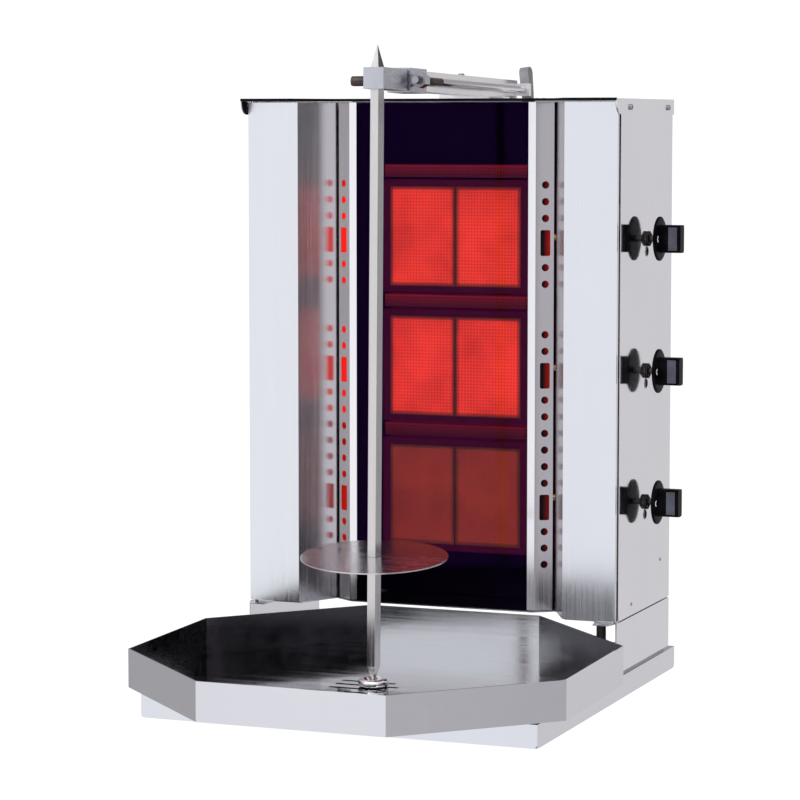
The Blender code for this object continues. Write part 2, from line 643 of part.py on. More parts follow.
def hang(empty, *objects):
    """Parent pieces to the leaning empty; their meshes are in its frame."""
    for obj in objects:
        obj.parent = empty


def build_spit(empty):
    """Square spit, its disc and the pin that the disc rests on."""
    half = SPIT_A / 2
    bm = bmesh.new()
    rings = []
    for z, h in ((SPIT_POINT, half), (SPIT_BAR_TOP, half)):
        rings.append([bm.verts.new((x * h, y * h, z)) for x, y in ((1, 1), (-1, 1), (-1, -1), (1, -1))])
    foot, tip = bm.verts.new((0, 0, 0)), bm.verts.new((0, 0, SPIT_TIP))
    for i in range(4):
        j = (i + 1) % 4
        bm.faces.new((rings[0][i], rings[0][j], rings[1][j], rings[1][i]))
        bm.faces.new((rings[0][j], rings[0][i], foot))
        bm.faces.new((rings[1][i], rings[1][j], tip))
    spit = from_bmesh("spit_bar", bm, "stainless")
    pin_z, pin_r = DISC_Z - 0.0048, 0.0020
    cut(spit, rod("pin_hole", (0.0, pin_z), pin_r + GAP, -0.01, 0.01, "x", 12))
    pin = rod("disc_pin", (0.0, pin_z), pin_r, -0.0115, 0.0115, "x", 12, "dark_steel")

    disc = rod("spit_disc", (0.0, 0.0), DISC_R, -DISC_T / 2, DISC_T / 2, steps=64)
    hole = half + 0.0012
    cut(disc, box("disc_hole", (-hole, -hole, -0.01), (hole, hole, 0.01)))
    turn = Matrix.Rotation(SPIT_TURN, 4, "Z")
    to = Matrix.Rotation(DISC_TILT_TO - SPIT_TURN, 4, "Z")
    tilt = to @ Matrix.Rotation(DISC_TILT, 4, "X") @ to.inverted()
    disc.data.transform(turn @ Matrix.Translation((0, 0, DISC_Z)) @ tilt)
    for obj in (spit, pin):
        obj.data.transform(turn)
    hang(empty, spit, disc, pin)


def build_arm(empty):
    """Fixed tube on the cover, and the head that slides in it on a screw spindle."""
    z = ARM_Z

    def square(name, half, start, end, material_name="stainless"):
        return box(name, (-half, start, z - half), (half, end, z + half), material_name)

    tube = square("arm_tube", TUBE_HALF, *TUBE_Y)
    cut(tube, square("tube_inside", TUBE_HALF - TUBE_WALL, TUBE_Y[0] - 0.01, TUBE_Y[1] + 0.01))
    for start, end, drop in ((0.2950, 0.3250, 0.0044), (0.3780, 0.4060, 0.0027)):
        weld(tube, box("pad", (-0.0300, start, z - TUBE_HALF - drop),
                       (0.0300, end, z - TUBE_HALF + 0.0010)))
    tidy(tube)

    head = square("spit_head", HEAD_HALF, -HEAD_HALF, HEAD_BACK)
    weld(head, square("slide_bar", BAR_HALF, HEAD_BACK - 0.002, BAR_END))
    cut(head, rod("head_bore", (0.0, 0.0), HEAD_BORE, z - 0.03, z + 0.03, steps=28))
    tidy(head)

    bush = rod("spit_bush", (0.0, 0.0), BUSH_R, z - HEAD_HALF + 0.0004, z + HEAD_HALF - 0.0004,
               steps=28, material_name="bronze")
    cut(bush, rod("bush_bore", (0.0, 0.0), BUSH_BORE, z - 0.03, z + 0.03, steps=28))
    smooth(bush)

    collar = square("arm_collar", COLLAR_HALF, *COLLAR_Y)
    cut(collar, square("collar_room", TUBE_HALF + 0.0006, COLLAR_Y[0] + 0.003, COLLAR_Y[1] + 0.01))
    weld(collar, box("nut_pad", (COLLAR_HALF - 0.001, NUT_Y[0], z - 0.005), (0.0195, NUT_Y[1], z + 0.005)))
    nut = prism("nut", circle((SPINDLE_X, z), NUT_AF / math.sqrt(3), 6, math.radians(30)), *NUT_Y, "y")
    weld(collar, nut)
    cut(collar, square("bar_hole", BAR_HALF + GAP, 0.06, COLLAR_Y[0] + 0.01))
    cut(collar, rod("nut_bore", (SPINDLE_X, z), SPINDLE_R + GAP, 0.06, 0.12, "y"))
    tidy(collar)

    lock = rod("head_lock_screw", (0.0, z - 0.0035), 0.0060, -0.0335, -HEAD_HALF - GAP,
               "x", 20, "dark_steel")

    spindle = rod("arm_spindle", (SPINDLE_X, z), SPINDLE_R, NUT_Y[0] - 0.014, TUBE_Y[1] - GAP, "y", 20)

    bearing = box("spindle_bearing", (TUBE_HALF + GAP, TUBE_Y[1] - 0.0100, z - 0.0085),
                  (SPINDLE_X + 0.0085, TUBE_Y[1] - 0.0006, z + 0.0085))
    cut(bearing, rod("bearing_bore", (SPINDLE_X, z), SPINDLE_R + GAP, 0.45, 0.50, "y", 20))
    tidy(bearing)

    front = TUBE_Y[1]
    outline = [(front + 0.0090, -0.0315), (front + 0.0200, 0.0235)]
    outline += arc((front + 0.0125, 0.0240), 0.0075, 0, 90, 4)
    outline += [(front + 0.0060, 0.0315), (front, 0.0255), (front, -0.0315)]
    handle = prism("t_handle", outline, -0.0065, 0.0065, "x")
    handle.data.transform(Matrix.Rotation(HANDLE_TURN, 4, "Y"))
    handle.data.transform(Matrix.Translation((SPINDLE_X, 0.0, z)))
    tidy(handle)
    for piece in (spindle, handle):
        seat(piece, (SPINDLE_X, NUT_Y[0], z))
    for piece in (head, bush, collar, lock):
        seat(piece, (0.0, 0.0, z))

    hang(empty, tube, head, bush, collar, lock, spindle, bearing, handle)


def main():
    """Clear the scene and build every sub-part."""
    for obj in list(bpy.data.objects):
        bpy.data.objects.remove(obj, do_unlink=True)
    build_base()
    build_drive()
    build_tray()
    build_legs()
    build_conduit()
    build_housing()
    build_cover()
    build_screws()
    build_shields()
    build_vent_strips()
    build_burners()
    build_gas()
    empty = spit_frame()
    build_spit(empty)
    build_arm(empty)
    bpy.context.view_layer.update()


main()
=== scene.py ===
import json
import math

import bmesh
import bpy
from mathutils import Matrix, Vector


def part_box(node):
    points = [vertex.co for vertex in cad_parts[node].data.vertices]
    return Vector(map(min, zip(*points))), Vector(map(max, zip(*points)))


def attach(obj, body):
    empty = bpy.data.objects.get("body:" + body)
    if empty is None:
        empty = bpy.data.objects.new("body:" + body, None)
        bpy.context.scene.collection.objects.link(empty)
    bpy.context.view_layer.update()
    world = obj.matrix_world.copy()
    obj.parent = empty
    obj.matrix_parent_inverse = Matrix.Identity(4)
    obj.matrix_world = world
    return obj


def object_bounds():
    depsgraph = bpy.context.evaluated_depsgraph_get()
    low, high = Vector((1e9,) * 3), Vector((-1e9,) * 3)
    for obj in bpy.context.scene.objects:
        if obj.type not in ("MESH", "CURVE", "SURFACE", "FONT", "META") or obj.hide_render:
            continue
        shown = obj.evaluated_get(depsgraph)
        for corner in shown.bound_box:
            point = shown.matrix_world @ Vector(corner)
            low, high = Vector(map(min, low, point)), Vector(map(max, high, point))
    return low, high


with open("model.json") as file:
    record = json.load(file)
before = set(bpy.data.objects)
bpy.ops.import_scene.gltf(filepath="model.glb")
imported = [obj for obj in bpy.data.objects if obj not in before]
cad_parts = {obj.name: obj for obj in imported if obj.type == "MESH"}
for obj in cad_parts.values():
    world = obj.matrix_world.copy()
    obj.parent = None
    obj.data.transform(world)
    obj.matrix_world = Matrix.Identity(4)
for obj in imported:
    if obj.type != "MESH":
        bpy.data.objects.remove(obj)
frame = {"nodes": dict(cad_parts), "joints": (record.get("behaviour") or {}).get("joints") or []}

CAD_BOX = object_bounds()
NODES = frame["nodes"]
JOINTS = {joint["name"]: joint for joint in frame["joints"]}

# ------------------------------------------------------------------ driving sizes, metres
EYE = (1.3785, -3.5739, 0.7354)           # the camera's place
EYE_TURN = (math.radians(84.84), 0.0, math.radians(21.47))
LENS, SENSOR = 134.2, 36.0                # millimetres
SHIFT_Y = -0.0088

BURNERS = ("1", "2", "3")                 # from the top down
TILE_PITCH = 0.0043                       # grid of fine holes in the ceramic
TILE_WAVE = 2.0 * math.pi / TILE_PITCH
HOT_RIM = 0.006                           # cooler border of a ceramic plate
EDGE_BEVEL = 0.00035
PROUD = 0.00005                           # a laid-on piece starts this far off its surface

REFLECTOR_IN = (0.0088, 0.0068)           # inner edge, from the vent strip's low corner
REFLECTOR_OUT = (-0.0034, 0.0026)         # outer edge, from the vent strip's high corner
REFLECTOR_SHEET = (-0.0006, 0.0009)       # from its front to its back
REFLECTOR_LIP = 0.0005                    # thickness of the lip along the outer edge
REFLECTOR_TIP = 0.0012                    # the lip's tip, in front of the strip's high corner
REFLECTOR_SHORT = 0.010                   # how much shorter it is than the strip, at each end
GLOW_LEVELS = (1.0, 0.9, 0.42)            # painted glow level with each burner
GLOW_REACH = (0.060, 0.095)               # full painted glow, and none, this far above and below a burner's middle

LINER_MARGIN = 0.085                      # past the burner box, at each side
LINER_Y = (0.0020, 0.0030)                # behind the burner box
LINER_ENDS = (0.002, 0.004)               # clear of the floor and of the cover
HOOD_Z = (0.0035, 0.0205)                 # above the burner box
HOOD_INSET, HOOD_SHEET, HOOD_DEPTH = 0.002, 0.001, 0.030

GRIP_HALF = 0.0084                        # half the thickness of a knob's grip
INLAY_X, INLAY_HALF_Z = (0.0165, 0.0048), 0.0150   # from the grip's end, and half the inlay's height
INLAY_SUNK, INLAY_THICK, INLAY_BEVEL = 0.0001, 0.0005, 0.0002
SKIRT_FACE, MARK_Y = 0.0042, 0.0152       # from the skirt's back, and from the knob's middle
PORT_Z = 0.0165                           # pilot port, below the valve's stem
NUT_GAP = 0.0004                          # from the panel to the stem's nut
MARK_RING, NUT_RING = (0.0018, 0.0042, 0.0006), (0.0066, 0.0098, 0.0048)   # inner and outer radius, height
PORT_RING = (0.0054, 0.0068, 0.0006)

RIVETS = ((0.0970, 0.1150), (0.2270, 0.1560))      # y, z on both side panels
BOLTS = ((0.0690, 0.2610), (0.0790, 0.2610))       # x, y on the cover
RIVET_HEAD, BOLT_HEAD = (0.0, 0.0021, 0.0008), (0.0, 0.0030, 0.0026)   # inner and outer radius, height
CROSS_LONG, CROSS_WIDE, CROSS_DEEP = 0.0022, 0.00035, 0.00012          # half length, half width, depth

THREAD_PITCH = 0.0015
SPINDLE_THREAD = (0.0640, 0.0900)                  # start along the arm, and length
SPINDLE_RADII = (0.0044, 0.00485)                  # root and crest
LOCK_RADII = (0.0058, 0.0064)
LOCK_ENDS = (0.0004, 0.0024)                       # plain start, and both plain ends together
TOP_SCREW = (0.298, 0.0129)                        # along the arm, and up to its top
TOP_SCREW_HEAD = (0.0, 0.0042, 0.0032)

# the black strip along the cover's front and the black cheeks in its flanges are painted shade
COVER_STEP = ((0.1885, 0.0150), (0.1525, 0.0830))  # x, y where the cover's front edge turns back to the glass
SHADE_STRIP_EDGE = 0.0004                                 # from the cover's side edge
SHADE_STRIP_FRONT, SHADE_STRIP_BACK, SHADE_STRIP_SKIN = 0.0007, 0.0024, 0.0002
SHADE_STRIP_UP, SHADE_STRIP_DOWN, SHADE_STRIP_GAP = 0.0008, 0.0027, 0.0001
CHEEK_INSIDE, CHEEK_THICK = 0.00155, 0.0004        # from the cover's side edge, and its sheet
CHEEK_TOP, CHEEK_Y = 0.0030, (0.0003, 0.0165)      # below the cover's top, and behind its front edge
CHEEK_ARC = (0.0163, 0.0178, 0.0160, 0.0175)       # centre behind the edge and above the flange, half axes

FLOOR_RADIUS, FLOOR_DROP = 1.35, 0.0005

# ------------------------------------------------------------------ driving tones
NOISE = (0.3, 0.7)                        # the part of 0 to 1 that fine noise fills
CLOUDS = (0.35, 0.65)                     # the part that broad noise fills
SCRATCH_DEPTH, PIT_DEPTH = 0.00008, 0.0001
HOT = {                                   # glow colour and heat of each burner's plates
    "1": ((1.0, 0.032, 0.016), 2.25),
    "2": ((1.0, 0.032, 0.018), 2.35),
    "3": ((0.80, 0.055, 0.024), 0.72),
}
# strength of the painted glow on each burner's hood
HOOD_PAINTED_GLOW = {"1": 1.00, "2": 1.00, "3": 0.70}
REFLECTOR_PAINTED_RED = (1.0, 0.014, 0.010, 1.0)            # painted red glow on the side reflectors, standing in for the burners' light they reflect
ROOM_BELOW = (                            # a direction's y, and the room's colour there, up to eye level
    (-1.0, (0.90, 0.92, 0.98)), (-0.945, (0.94, 0.96, 1.03)), (-0.915, (1.03, 1.04, 1.09)),
    (-0.62, (0.93, 0.92, 0.95)), (-0.38, (0.56, 0.55, 0.59)), (0.20, (0.50, 0.49, 0.52)),
    (0.65, (0.42, 0.42, 0.43)), (0.93, (0.73, 0.72, 0.74)),
)
ROOM_ABOVE = (                            # the same, over eye level
    (-1.0, (0.95, 0.97, 1.02)), (-0.60, (0.93, 0.94, 0.98)), (-0.25, (0.42, 0.41, 0.44)),
    (0.30, (0.26, 0.25, 0.28)), (0.80, (0.30, 0.30, 0.31)), (1.0, (0.36, 0.36, 0.37)),
)
SCREEN_GREY = (0.42, 0.41, 0.42, 1.0)     # grey screen, low at the front right
SCREEN_X, SCREEN_Y = (0.36, 0.62), ((-0.90, -0.74), (-0.52, -0.40))   # directions where it sets in and ends
CORNER_DARK = (0.012, 0.010, 0.013, 1.0)  # dark corner, higher at the right
CORNER_X, CORNER_Z = (0.22, 0.48), (0.24, 0.34)
EYE_LEVEL_Z = (0.080, 0.140)              # where the lower tones give way to the upper ones
OVERHEAD_Z, OVERHEAD_LEVEL = (0.25, 0.80), 2.5
BACKDROP_LEVEL = 1.05                     # white that the camera sees
FLOOR_TONE, FLOOR_GLOW = (0.12, 0.12, 0.12, 1.0), 0.96
KEY_PLACE, KEY_TARGET, KEY_SIZE, KEY_POWER = (-1.6, -2.6, 3.0), (0.0, 0.0, 0.4), 1.6, 20.0


# ------------------------------------------------------------------ node helpers
class Nodes:
    """Short calls for building a material's node tree."""

    def __init__(self, name):
        self.material = bpy.data.materials.new(name)
        self.material.use_nodes = True
        self.tree = self.material.node_tree
        self.shader = self.tree.nodes["Principled BSDF"]
        self.coords = self.add("ShaderNodeTexCoord").outputs["Object"]

    def add(self, kind, **values):
        node = self.tree.nodes.new(kind)
        for key, value in values.items():
            setattr(node, key, value)
        return node

    def link(self, source, target):
        self.tree.links.new(source, target)

    def scaled(self, scale, location=(0, 0, 0)):
        mapping = self.add("ShaderNodeMapping")
        mapping.inputs["Scale"].default_value = scale
        mapping.inputs["Location"].default_value = location
        self.link(self.coords, mapping.inputs["Vector"])
        return mapping.outputs["Vector"]

    def noise(self, scale, size=1.0, detail=4.0, rough=0.5, location=(0, 0, 0)):
        node = self.add("ShaderNodeTexNoise")
        node.inputs["Scale"].default_value = size
        node.inputs["Detail"].default_value = detail
        node.inputs["Roughness"].default_value = rough
        self.link(self.scaled(scale, location), node.inputs["Vector"])
        return node.outputs["Fac"]

    def math(self, operation, *inputs, clamp=False):
        node = self.add("ShaderNodeMath", operation=operation, use_clamp=clamp)
        for socket, value in zip(node.inputs, inputs):
            if isinstance(value, (int, float)):
                socket.default_value = value
            else:
                self.link(value, socket)
        return node.outputs[0]

    def spread(self, source, low, high, start=0.0, end=1.0):
        node = self.add("ShaderNodeMapRange", clamp=True)
        node.inputs["From Min"].default_value = start
        node.inputs["From Max"].default_value = end
        node.inputs["To Min"].default_value = low
        node.inputs["To Max"].default_value = high
        self.link(source, node.inputs["Value"])
        return node.outputs["Result"]

    def ramp(self, source, *stops):
        node = self.add("ShaderNodeValToRGB")
        elements = node.color_ramp.elements
        while len(elements) < len(stops):
            elements.new(0.5)
        for element, (place, colour) in zip(elements, stops):
            element.position = place
            element.color = (*colour, 1.0)
        self.link(source, node.inputs["Fac"])
        return node.outputs["Color"]

    def axes(self):
        node = self.add("ShaderNodeSeparateXYZ")
        self.link(self.coords, node.inputs["Vector"])
        return node.outputs["X"], node.outputs["Y"], node.outputs["Z"]

    def cell(self, value, swing):
        """Wave of the tile's pitch, from one down to one minus twice the swing."""
        wave = self.math("COSINE", self.math("MULTIPLY", value, TILE_WAVE))
        return self.math("MULTIPLY_ADD", wave, swing, 1.0 - swing)

    def bump(self, height, strength, distance):
        node = self.add("ShaderNodeBump")
        node.inputs["Strength"].default_value = strength
        node.inputs["Distance"].default_value = distance
        self.link(height, node.inputs["Height"])
        self.link(node.outputs["Normal"], self.shader.inputs["Normal"])

    def constant(self, **values):
        for key, value in values.items():
            self.shader.inputs[key.replace("_", " ")].default_value = value
        return self


def grain_scale(direction, fine, long):
    """Noise scale for brushing that runs along one axis."""
    return tuple(long if axis == direction else fine for axis in "xyz")


def brushed(name, colour, rough, direction, fine=900.0, long=6.0, depth=0.12, stain=0.06, stretch=0.0):
    """Brushed sheet: fine scratches along one axis, faint cloudy stains."""
    n = Nodes(name)
    scratches = n.noise(grain_scale(direction, fine, long), detail=2.0)
    broad = n.noise(grain_scale(direction, fine / 9.0, long / 3.0), detail=3.0)
    clouds = n.noise((7.0, 7.0, 5.0), detail=5.0, rough=0.6)
    grain = n.math("ADD", n.math("MULTIPLY", scratches, 0.6), n.math("MULTIPLY", broad, 0.4))
    level = n.math("ADD", n.spread(grain, rough - 0.07, rough + 0.08, *NOISE),
                   n.spread(clouds, -stain, stain, *CLOUDS))
    n.link(level, n.shader.inputs["Roughness"])
    dark = tuple(c * (1.0 - stain * 1.8) for c in colour)
    tone = n.math("ADD", n.math("MULTIPLY", clouds, 0.5), n.math("MULTIPLY", grain, 0.5))
    n.link(n.ramp(tone, (0.36, dark), (0.60, colour)), n.shader.inputs["Base Color"])
    n.bump(grain, depth, SCRATCH_DEPTH)
    if stretch:
        around = n.add("ShaderNodeTangent", direction_type="RADIAL", axis="Z")
        n.link(around.outputs["Tangent"], n.shader.inputs["Tangent"])
        n.shader.inputs["Anisotropic"].default_value = stretch
    return n.constant(Metallic=1.0).material


def machined(name, colour, rough, wear=0.25):
    """Bar stock, screws and turned pieces: fine pits, darker worn patches."""
    n = Nodes(name)
    fine = n.noise((350.0, 350.0, 350.0), detail=4.0, rough=0.6)
    patches = n.noise((38.0, 38.0, 16.0), detail=6.0, rough=0.65)
    dark = tuple(c * (1.0 - wear) for c in colour)
    n.link(n.ramp(patches, (0.38, dark), (0.62, colour)), n.shader.inputs["Base Color"])
    n.link(n.spread(fine, rough - 0.08, rough + 0.12, *NOISE), n.shader.inputs["Roughness"])
    n.bump(fine, 0.15, PIT_DEPTH)
    return n.constant(Metallic=1.0).material


def moulded(name, colour, rough, shine=0.5):
    """Moulded plastic or rubber with a fine texture."""
    n = Nodes(name)
    fine = n.noise((1400.0, 1400.0, 1400.0), detail=3.0)
    clouds = n.noise((60.0, 60.0, 60.0), detail=3.0)
    light = tuple(min(1.0, c * 1.5 + 0.004) for c in colour)
    n.link(n.ramp(clouds, (0.4, colour), (0.7, light)), n.shader.inputs["Base Color"])
    n.link(n.spread(fine, rough - 0.06, rough + 0.08, *NOISE), n.shader.inputs["Roughness"])
    n.bump(fine, 0.25, PIT_DEPTH)
    n.shader.inputs["Specular IOR Level"].default_value = shine
    return n.material


def ceramic(name, node, glow, heat):
    """Glowing ceramic plate: a grid of fine holes, a cooler rim, uneven heat."""
    low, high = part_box(node)
    n = Nodes(name)
    x, _, z = n.axes()
    grid = n.math("MULTIPLY", n.cell(x, 0.5), n.cell(z, 0.5))

    def inside(value, start, end):
        near = n.spread(n.math("SUBTRACT", value, start), 0.0, 1.0, 0.0, HOT_RIM)
        far = n.spread(n.math("SUBTRACT", end, value), 0.0, 1.0, 0.0, HOT_RIM)
        return n.math("MULTIPLY", near, far)

    body = n.math("MULTIPLY", inside(x, low.x, high.x), inside(z, low.z, high.z))
    clouds = n.noise((16.0, 16.0, 16.0), detail=4.0)
    mottled = n.spread(clouds, 0.80, 1.12, *CLOUDS)
    level = n.math("MULTIPLY", n.math("MULTIPLY", body, mottled), n.spread(grid, 1.10, 0.30))
    cool = tuple(c * 0.25 for c in glow)
    n.link(n.ramp(level, (0.05, cool), (0.85, glow)), n.shader.inputs["Emission Color"])
    n.link(n.math("MULTIPLY_ADD", level, heat * 0.85, heat * 0.15), n.shader.inputs["Emission Strength"])
    clay = n.ramp(clouds, (0.3, (0.35, 0.12, 0.07)), (0.7, (0.50, 0.17, 0.09)))
    n.link(clay, n.shader.inputs["Base Color"])
    n.bump(grid, 0.6, 0.0006)
    return n.constant(Roughness=0.9).material


def glass(name):
    """Dark glass-ceramic, clear enough to show the hot plates."""
    n = Nodes(name)
    smear = n.noise((9.0, 9.0, 4.0), detail=5.0, rough=0.6)
    fine = n.noise((240.0, 240.0, 240.0), detail=2.0)
    tint = n.ramp(smear, (0.3, (0.0002, 0.0, 0.001)), (0.7, (0.0006, 0.0, 0.002)))
    n.link(tint, n.shader.inputs["Base Color"])
    n.link(n.spread(smear, 0.03, 0.07, *NOISE), n.shader.inputs["Roughness"])
    n.bump(fine, 0.02, 0.00005)
    n.shader.inputs["Specular IOR Level"].default_value = 0.24
    n.shader.inputs["Specular Tint"].default_value = (0.34, 0.03, 1.0, 1.0)
    return n.constant(Alpha=0.42, Metallic=0.0, IOR=1.5).material


def burner_case(name):
    """Burner box: dark scorched sheet with a painted dull red glow beside the plates."""
    n = Nodes(name)
    clouds = n.noise((30.0, 30.0, 30.0), detail=5.0)
    fine = n.noise((500.0, 500.0, 500.0), detail=2.0)
    scorched = n.ramp(clouds, (0.3, (0.05, 0.012, 0.014)), (0.7, (0.10, 0.02, 0.02)))
    n.link(scorched, n.shader.inputs["Base Color"])
    n.link(n.spread(fine, 0.45, 0.7), n.shader.inputs["Roughness"])
    # dull red emission over the whole box: painted glow of the plates' light
    n.shader.inputs["Emission Color"].default_value = (0.080, 0.0015, 0.019, 1.0)
    n.shader.inputs["Emission Strength"].default_value = 1.0
    n.bump(fine, 0.2, 0.0001)
    return n.constant(Metallic=0.6).material


def liner(name):
    """Almost black inner liner: painted shade inside the housing."""
    n = Nodes(name)
    clouds = n.noise((14.0, 14.0, 14.0), detail=5.0)
    fine = n.noise((600.0, 600.0, 600.0), detail=2.0)
    shade_tone = n.ramp(clouds, (0.3, (0.003, 0.001, 0.005)), (0.7, (0.008, 0.003, 0.012)))
    n.link(shade_tone, n.shader.inputs["Base Color"])
    n.link(n.spread(fine, 0.75, 0.95), n.shader.inputs["Roughness"])
    n.shader.inputs["Specular IOR Level"].default_value = 0.15
    n.bump(fine, 0.3, 0.0002)
    return n.material


# ------------------------------------------------------------------ mesh helpers
def add_mesh(name, bm, material, body, smooth_angle=None):
    """Finish a bmesh as a piece that rides on a body."""
    bmesh.ops.recalc_face_normals(bm, faces=bm.faces)
    mesh = bpy.data.meshes.new(name)
    bm.to_mesh(mesh)
    bm.free()
    mesh.materials.append(material)
    obj = bpy.data.objects.new(name, mesh)
    bpy.context.scene.collection.objects.link(obj)
    if smooth_angle:
        mesh.shade_smooth()
        mesh.set_sharp_from_angle(angle=math.radians(smooth_angle))
    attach(obj, body)
    return obj


def plate(bm, low, high, bevel=0.0):
    """Add a box between two corners, with softened edges."""
    made = bmesh.ops.create_cube(bm, size=1.0)["verts"]
    low, high = Vector(low), Vector(high)
    for vert in made:
        vert.co = Vector([low[i] + (vert.co[i] + 0.5) * (high[i] - low[i]) for i in range(3)])
    if bevel:
        edges = list({edge for vert in made for edge in vert.link_edges})
        bmesh.ops.bevel(bm, geom=edges, offset=bevel, segments=2, affect="EDGES", profile=0.5)


def ring(bm, centre, normal, inner, outer, height, steps=32):
    """Add a raised ring, a filled disc when inner is zero, standing along normal."""
    turn = Vector((0, 0, 1)).rotation_difference(Vector(normal)).to_matrix().to_4x4()
    pose = Matrix.Translation(centre) @ turn
    edge = min(height, outer - inner) * 0.3
    profile = [(outer, 0.0), (outer, height - edge), (outer - edge, height)]
    profile += [(inner + edge, height), (inner, height - edge), (inner, 0.0)] if inner else [(0.0, height)]
    rows = []
    for i in range(steps):
        angle = 2.0 * math.pi * i / steps
        points = [pose @ Vector((r * math.cos(angle), r * math.sin(angle), z)) for r, z in profile]
        rows.append([bm.verts.new(point) for point in points])
    count = len(profile)
    for i in range(steps):
        near, far = rows[i], rows[(i + 1) % steps]
        last = count if inner else count - 1
        for j in range(last):
            k = (j + 1) % count
            bm.faces.new((near[j], far[j], far[k], near[k]))
    if not inner:
        bm.faces.new([row[0] for row in reversed(rows)])
        bmesh.ops.remove_doubles(bm, verts=[row[-1] for row in rows], dist=1e-6)


def thread(bm, start, direction, length, root, crest, pitch, steps=20):
    """Add a helical thread ridge round a bar that runs from start along direction."""
    direction = Vector(direction).normalized()
    side = direction.orthogonal().normalized()
    up = direction.cross(side)
    start = Vector(start)
    count = int(length / pitch * steps)
    rows = []
    for i in range(count + 1):
        angle = 2.0 * math.pi * i / steps
        along = pitch * i / steps
        outward = side * math.cos(angle) + up * math.sin(angle)
        profile = ((root, 0.0), (crest, pitch * 0.42), (crest, pitch * 0.58), (root, pitch))
        rows.append([bm.verts.new(start + outward * r + direction * (along + z)) for r, z in profile])
    for near, far in zip(rows, rows[1:]):
        for j in range(4):
            k = (j + 1) % 4
            bm.faces.new((near[j], far[j], far[k], near[k]))
    bm.faces.new(rows[0])
    bm.faces.new(list(reversed(rows[-1])))


# ------------------------------------------------------------------ materials
M = {
    "sheet_z": brushed("shield_steel", (0.79, 0.80, 0.82), 0.21, "z", depth=0.03, stain=0.02, stretch=0.75),
    "sheet_y": brushed("panel_steel", (0.77, 0.765, 0.79), 0.075, "z", fine=700.0, depth=0.012, stain=0.02),
    "sheet_x": brushed("base_steel", (0.74, 0.75, 0.78), 0.16, "x", depth=0.03, stain=0.03),
    "strip": brushed("vent_strip_steel", (0.88, 0.86, 0.86), 0.17, "z", depth=0.04, stain=0.02),
    # darker copy of the shield steel: painted shade on the faces towards the glass
    "shield_inside": brushed("shield_inside_painted_shade", (0.62, 0.60, 0.62), 0.21, "z", depth=0.03, stain=0.02,
                             stretch=0.75),
    # darker copy of the vent strip steel: painted shade on the right strip's slanted flange
    "flange": brushed("right_flange_painted_shade", (0.69, 0.67, 0.68), 0.17, "z", depth=0.04, stain=0.02),
    "tray": brushed("tray_steel", (0.70, 0.70, 0.72), 0.10, "x", fine=650.0, long=5.0, depth=0.035,
                    stain=0.03),
    "bar": brushed("spit_steel", (0.76, 0.74, 0.73), 0.20, "z", fine=420.0, depth=0.06, stain=0.06),
    # darker copy of the tray steel: painted shade on the inner faces of the left walls
    "tray_dark": brushed("tray_painted_shade", (0.13, 0.125, 0.14), 0.14, "x", fine=650.0, long=5.0,
                         depth=0.035, stain=0.05),
    "disc": brushed("disc_steel", (0.62, 0.60, 0.62), 0.20, "x", fine=500.0, depth=0.03, stain=0.04),
    "block": machined("block_steel", (0.52, 0.53, 0.57), 0.30, wear=0.08),
    "tube": brushed("arm_tube_steel", (0.82, 0.80, 0.81), 0.22, "y", fine=500.0, depth=0.04, stain=0.04),
    "handle": machined("handle_steel", (0.36, 0.345, 0.35), 0.34, wear=0.22),
    "thread": machined("dark_thread", (0.13, 0.105, 0.10), 0.42, wear=0.45),
    "nut": machined("blackened_nut", (0.035, 0.033, 0.034), 0.36, wear=0.3),
    "screw": machined("screw_steel", (0.45, 0.45, 0.47), 0.32, wear=0.3),
    "zinc": machined("zinc_sheet", (0.50, 0.51, 0.53), 0.42, wear=0.18),
    "polished": machined("polished_cup", (0.80, 0.79, 0.78), 0.12, wear=0.12),
    "bronze": machined("bearing_bronze", (0.55, 0.38, 0.20), 0.35),
    "brass": machined("valve_brass", (0.70, 0.52, 0.24), 0.30),
    "knob": moulded("knob_black", (0.002, 0.002, 0.003), 0.34, shine=0.025),
    "inlay": moulded("knob_inlay_grey", (0.075, 0.078, 0.10), 0.34, shine=0.2),
    "mark": moulded("knob_mark_white", (0.85, 0.85, 0.85), 0.45),
    "rubber": moulded("black_rubber", (0.012, 0.012, 0.013), 0.6),
    # black standing in for shade: the cover's front strip and cheeks, the screw recesses and the reflectors'
    # hidden faces
    "shadow": moulded("painted_shade_black", (0.002, 0.002, 0.003), 0.7, shine=0.1),
    "glass": glass("dark_glass_ceramic"),
    "case": burner_case("burner_case_painted_glow"),
    "liner": liner("painted_shade_liner"),
}

